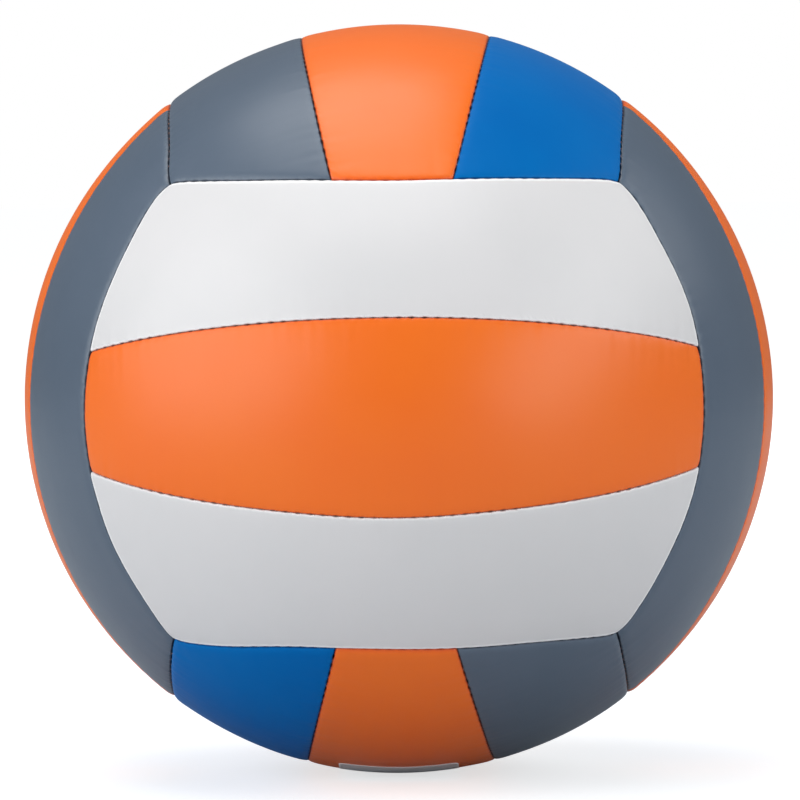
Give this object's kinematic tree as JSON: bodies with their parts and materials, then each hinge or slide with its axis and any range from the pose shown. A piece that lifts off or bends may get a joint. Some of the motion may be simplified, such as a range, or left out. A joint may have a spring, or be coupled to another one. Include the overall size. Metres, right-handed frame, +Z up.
{
  "type": "volleyball",
  "caption": "Stitched volleyball in white, orange, grey and blue strip panels, with foam backing, an air bladder and a needle valve.",
  "frame": {"origin": "centre of the ball", "axes": "+Z up, -Y through the middle of the face with the horizontal white and orange strips, +Y out of the valve"},
  "size_m": [0.2132, 0.2131, 0.2132],
  "materials": {
    "leather_white": "satin synthetic leather",
    "leather_orange": "satin synthetic leather",
    "leather_grey": "satin synthetic leather",
    "leather_blue": "satin synthetic leather",
    "foam": "closed-cell foam with a cloth lining",
    "thread": "waxed polyester thread",
    "bladder_rubber": "smooth",
    "valve_rubber": "matte",
    "insert_rubber": "matte",
    "patch_cloth": "woven"
  },
  "bodies": {
    "root": {"front_lower_panel": "leather_white", "front_middle_panel": "leather_orange", "front_upper_panel": "leather_white", "back_lower_panel": "leather_white", "back_middle_panel": "leather_orange", "back_upper_panel": "leather_white", "top_left_panel": "leather_grey", "top_middle_panel": "leather_orange", "top_right_panel": "leather_blue", "bottom_left_panel": "leather_blue", "bottom_middle_panel": "leather_orange", "bottom_right_panel": "leather_grey", "left_front_panel": "leather_grey", "left_middle_panel": "leather_orange", "left_back_panel": "leather_blue", "right_front_panel": "leather_grey", "right_middle_panel": "leather_orange", "right_back_panel": "leather_blue", "front_lower_foam": "foam", "front_middle_foam": "foam", "front_upper_foam": "foam", "back_lower_foam": "foam", "back_middle_foam": "foam", "back_upper_foam": "foam", "top_left_foam": "foam", "top_middle_foam": "foam", "top_right_foam": "foam", "bottom_left_foam": "foam", "bottom_middle_foam": "foam", "bottom_right_foam": "foam", "left_front_foam": "foam", "left_middle_foam": "foam", "left_back_foam": "foam", "right_front_foam": "foam", "right_middle_foam": "foam", "right_back_foam": "foam", "front_thread": "thread", "back_thread": "thread", "top_thread": "thread", "bottom_thread": "thread", "left_thread": "thread", "right_thread": "thread", "bladder": "bladder_rubber", "valve_housing": "valve_rubber", "valve_insert": "insert_rubber", "valve_patch": "patch_cloth"}
  },
  "joints": []
}
